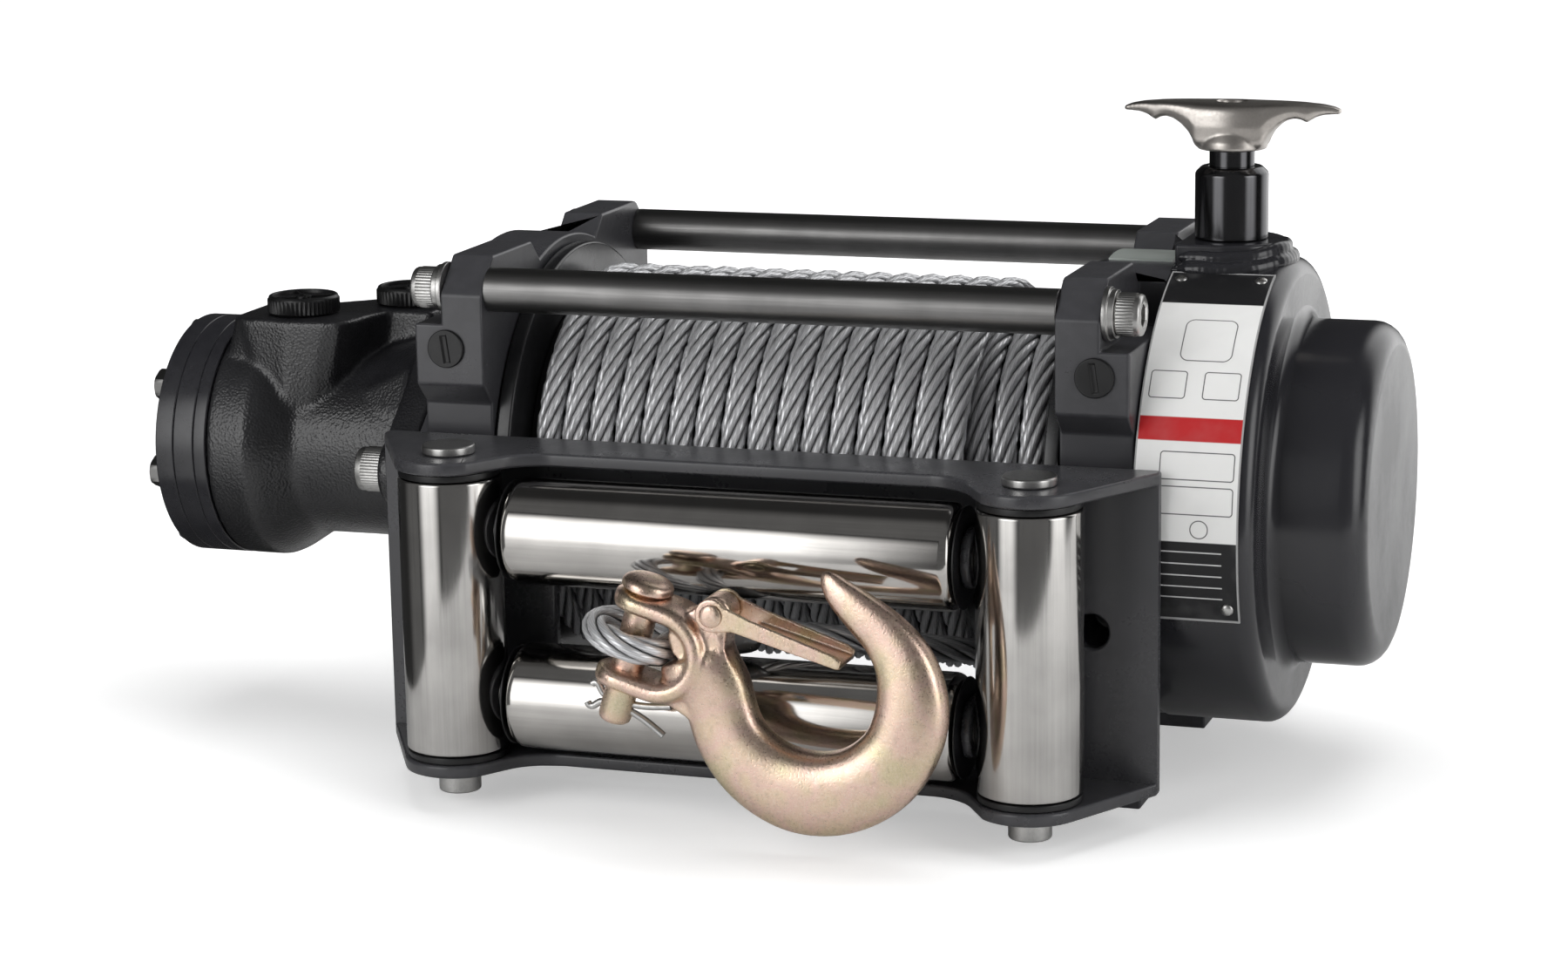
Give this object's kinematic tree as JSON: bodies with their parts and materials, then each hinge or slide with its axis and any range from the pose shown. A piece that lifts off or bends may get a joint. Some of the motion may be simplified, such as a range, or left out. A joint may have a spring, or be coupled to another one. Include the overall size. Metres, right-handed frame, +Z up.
{
  "type": "hydraulic recovery winch",
  "caption": "Hydraulic winch with a rope drum between two cast supports, a planetary gearbox with a lift-and-turn clutch, wire rope with a clevis hook and a roller fairlead.",
  "frame": {"origin": "centre of the four foot holes, on the bottom face of the feet", "axes": "+X along the drum towards the gearbox, -Y towards the rope side and the fairlead, +Z up"},
  "size_m": [0.5025, 0.2717, 0.2578],
  "materials": {
    "grey_paint": "satin",
    "dark_paint": "satin",
    "cast_paint": "satin",
    "black_steel": "satin",
    "ground_steel": "satin",
    "machined_steel": "satin",
    "bright_screws": "gloss",
    "rope_steel": "satin",
    "polished_steel": "polished",
    "dark_chrome": "polished",
    "cast_handle": "satin",
    "yellow_zinc": "satin",
    "bronze": "satin",
    "label_metal": "satin",
    "black_plastic": "matte",
    "seal_rubber": "matte"
  },
  "bodies": {
    "frame": {"motor_end_cover": "cast_paint", "motor_end_bolts": "black_steel", "gerotor_ring": "ground_steel", "gerotor_star": "ground_steel", "spacer_plate": "cast_paint", "motor_housing": "cast_paint", "drive_link": "ground_steel", "shaft_seal": "seal_rubber", "port_caps": "black_plastic", "motor_flange_screws": "bright_screws", "motor_support": "grey_paint", "gear_support": "grey_paint", "mount_plugs": "black_plastic", "tie_rods": "grey_paint", "tie_rod_screws": "bright_screws", "tie_rod_washers": "bright_screws", "drum_bushes": "bronze", "rope_lead": "rope_steel", "rope_ferrule": "machined_steel", "gear_housing": "grey_paint", "housing_screws": "black_steel", "clutch_ring_gear": "machined_steel", "input_ring_gear": "machined_steel", "label_plate": "label_metal", "label_rivets": "bright_screws", "clutch_sleeve": "dark_chrome", "clutch_spring": "ground_steel", "fairlead_frame": "grey_paint", "roller_bushes": "black_plastic", "roller_pins": "bright_screws"},
    "drum": {"drum": "dark_paint", "rope_core": "rope_steel", "rope_winding": "rope_steel", "output_carrier": "machined_steel", "output_planet_pins": "ground_steel"},
    "output_planet_a": {"output_planet_a": "machined_steel"},
    "output_planet_b": {"output_planet_b": "machined_steel"},
    "output_planet_c": {"output_planet_c": "machined_steel"},
    "input_carrier": {"input_carrier": "machined_steel", "input_planet_pins": "ground_steel"},
    "input_planet_a": {"input_planet_a": "machined_steel"},
    "input_planet_b": {"input_planet_b": "machined_steel"},
    "input_planet_c": {"input_planet_c": "machined_steel"},
    "drive": {"motor_shaft": "ground_steel", "shaft_coupling": "machined_steel", "drive_shaft": "ground_steel", "sun_gear": "machined_steel"},
    "roller_left": {"roller_left": "polished_steel"},
    "roller_right": {"roller_right": "polished_steel"},
    "roller_upper": {"roller_upper": "polished_steel"},
    "roller_lower": {"roller_lower": "polished_steel"},
    "clutch_plunger": {"clutch_plunger": "dark_chrome"},
    "clutch_handle": {"clutch_handle": "cast_handle", "handle_screw": "black_steel"},
    "hook": {"hook_body": "yellow_zinc", "clevis_pin": "yellow_zinc", "cotter_pin": "ground_steel", "latch_rivet": "yellow_zinc", "latch_spring": "ground_steel"},
    "hook_latch": {"hook_latch": "yellow_zinc"}
  },
  "joints": [
    {"name": "drum_spin", "type": "hinge", "parent": "frame", "child": "drum", "pos_m": [0, 0, 0.11], "axis": [1, 0, 0], "continuous": true, "deforming": ["rope_lead"]},
    {"name": "output_planet_a_spin", "type": "hinge", "parent": "drum", "child": "output_planet_a", "pos_m": [0.158, 0.045, 0.11], "axis": [1, 0, 0], "continuous": true},
    {"name": "output_planet_b_spin", "type": "hinge", "parent": "drum", "child": "output_planet_b", "pos_m": [0.158, -0.0225, 0.14897], "axis": [1, 0, 0], "continuous": true},
    {"name": "output_planet_c_spin", "type": "hinge", "parent": "drum", "child": "output_planet_c", "pos_m": [0.158, -0.0225, 0.07103], "axis": [1, 0, 0], "continuous": true},
    {"name": "input_carrier_spin", "type": "hinge", "parent": "frame", "child": "input_carrier", "pos_m": [0.18, 0, 0.11], "axis": [1, 0, 0], "continuous": true},
    {"name": "input_planet_a_spin", "type": "hinge", "parent": "input_carrier", "child": "input_planet_a", "pos_m": [0.195, 0.033, 0.11], "axis": [1, 0, 0], "continuous": true},
    {"name": "input_planet_b_spin", "type": "hinge", "parent": "input_carrier", "child": "input_planet_b", "pos_m": [0.195, -0.0165, 0.13858], "axis": [1, 0, 0], "continuous": true},
    {"name": "input_planet_c_spin", "type": "hinge", "parent": "input_carrier", "child": "input_planet_c", "pos_m": [0.195, -0.0165, 0.08142], "axis": [1, 0, 0], "continuous": true},
    {"name": "drive_spin", "type": "hinge", "parent": "frame", "child": "drive", "pos_m": [0, 0, 0.11], "axis": [1, 0, 0], "continuous": true},
    {"name": "roller_left_spin", "type": "hinge", "parent": "frame", "child": "roller_left", "pos_m": [-0.112, -0.125, 0.074], "axis": [0, 0, 1], "continuous": true},
    {"name": "roller_right_spin", "type": "hinge", "parent": "frame", "child": "roller_right", "pos_m": [0.112, -0.125, 0.074], "axis": [0, 0, 1], "continuous": true},
    {"name": "roller_upper_spin", "type": "hinge", "parent": "frame", "child": "roller_upper", "pos_m": [0, -0.122, 0.10575], "axis": [1, 0, 0], "continuous": true},
    {"name": "roller_lower_spin", "type": "hinge", "parent": "frame", "child": "roller_lower", "pos_m": [0, -0.122, 0.04225], "axis": [1, 0, 0], "continuous": true},
    {"name": "clutch_lift", "type": "slide", "parent": "frame", "child": "clutch_plunger", "axis": [0, 0, 1], "range_m": [0, 0.008], "deforming": ["clutch_spring"]},
    {"name": "clutch_turn", "type": "hinge", "parent": "clutch_plunger", "child": "clutch_handle", "pos_m": [0.1577, 0, 0.24], "axis": [0, 0, 1], "range_deg": [0, 90]},
    {"name": "hook_swing", "type": "hinge", "parent": "frame", "child": "hook", "pos_m": [-0.024, -0.165, 0.079], "axis": [-0.2756, 0, -0.9613], "range_deg": [0, 90]},
    {"name": "latch_open", "type": "hinge", "parent": "hook", "child": "hook_latch", "pos_m": [0.00842, -0.165, 0.09155], "axis": [0, 1, 0], "range_deg": [0, 30], "stiffness_Nm_per_rad": 0.05, "springref_deg": -11.46}
  ],
  "couplings": [
    {"joint": "output_planet_a_spin", "follows": "drum_spin", "ratio": -3},
    {"joint": "output_planet_b_spin", "follows": "drum_spin", "ratio": -3},
    {"joint": "output_planet_c_spin", "follows": "drum_spin", "ratio": -3},
    {"joint": "input_carrier_spin", "follows": "drum_spin", "ratio": 4},
    {"joint": "input_planet_a_spin", "follows": "drum_spin", "ratio": -11.333},
    {"joint": "input_planet_b_spin", "follows": "drum_spin", "ratio": -11.333},
    {"joint": "input_planet_c_spin", "follows": "drum_spin", "ratio": -11.333},
    {"joint": "drive_spin", "follows": "drum_spin", "ratio": 17.6}
  ]
}
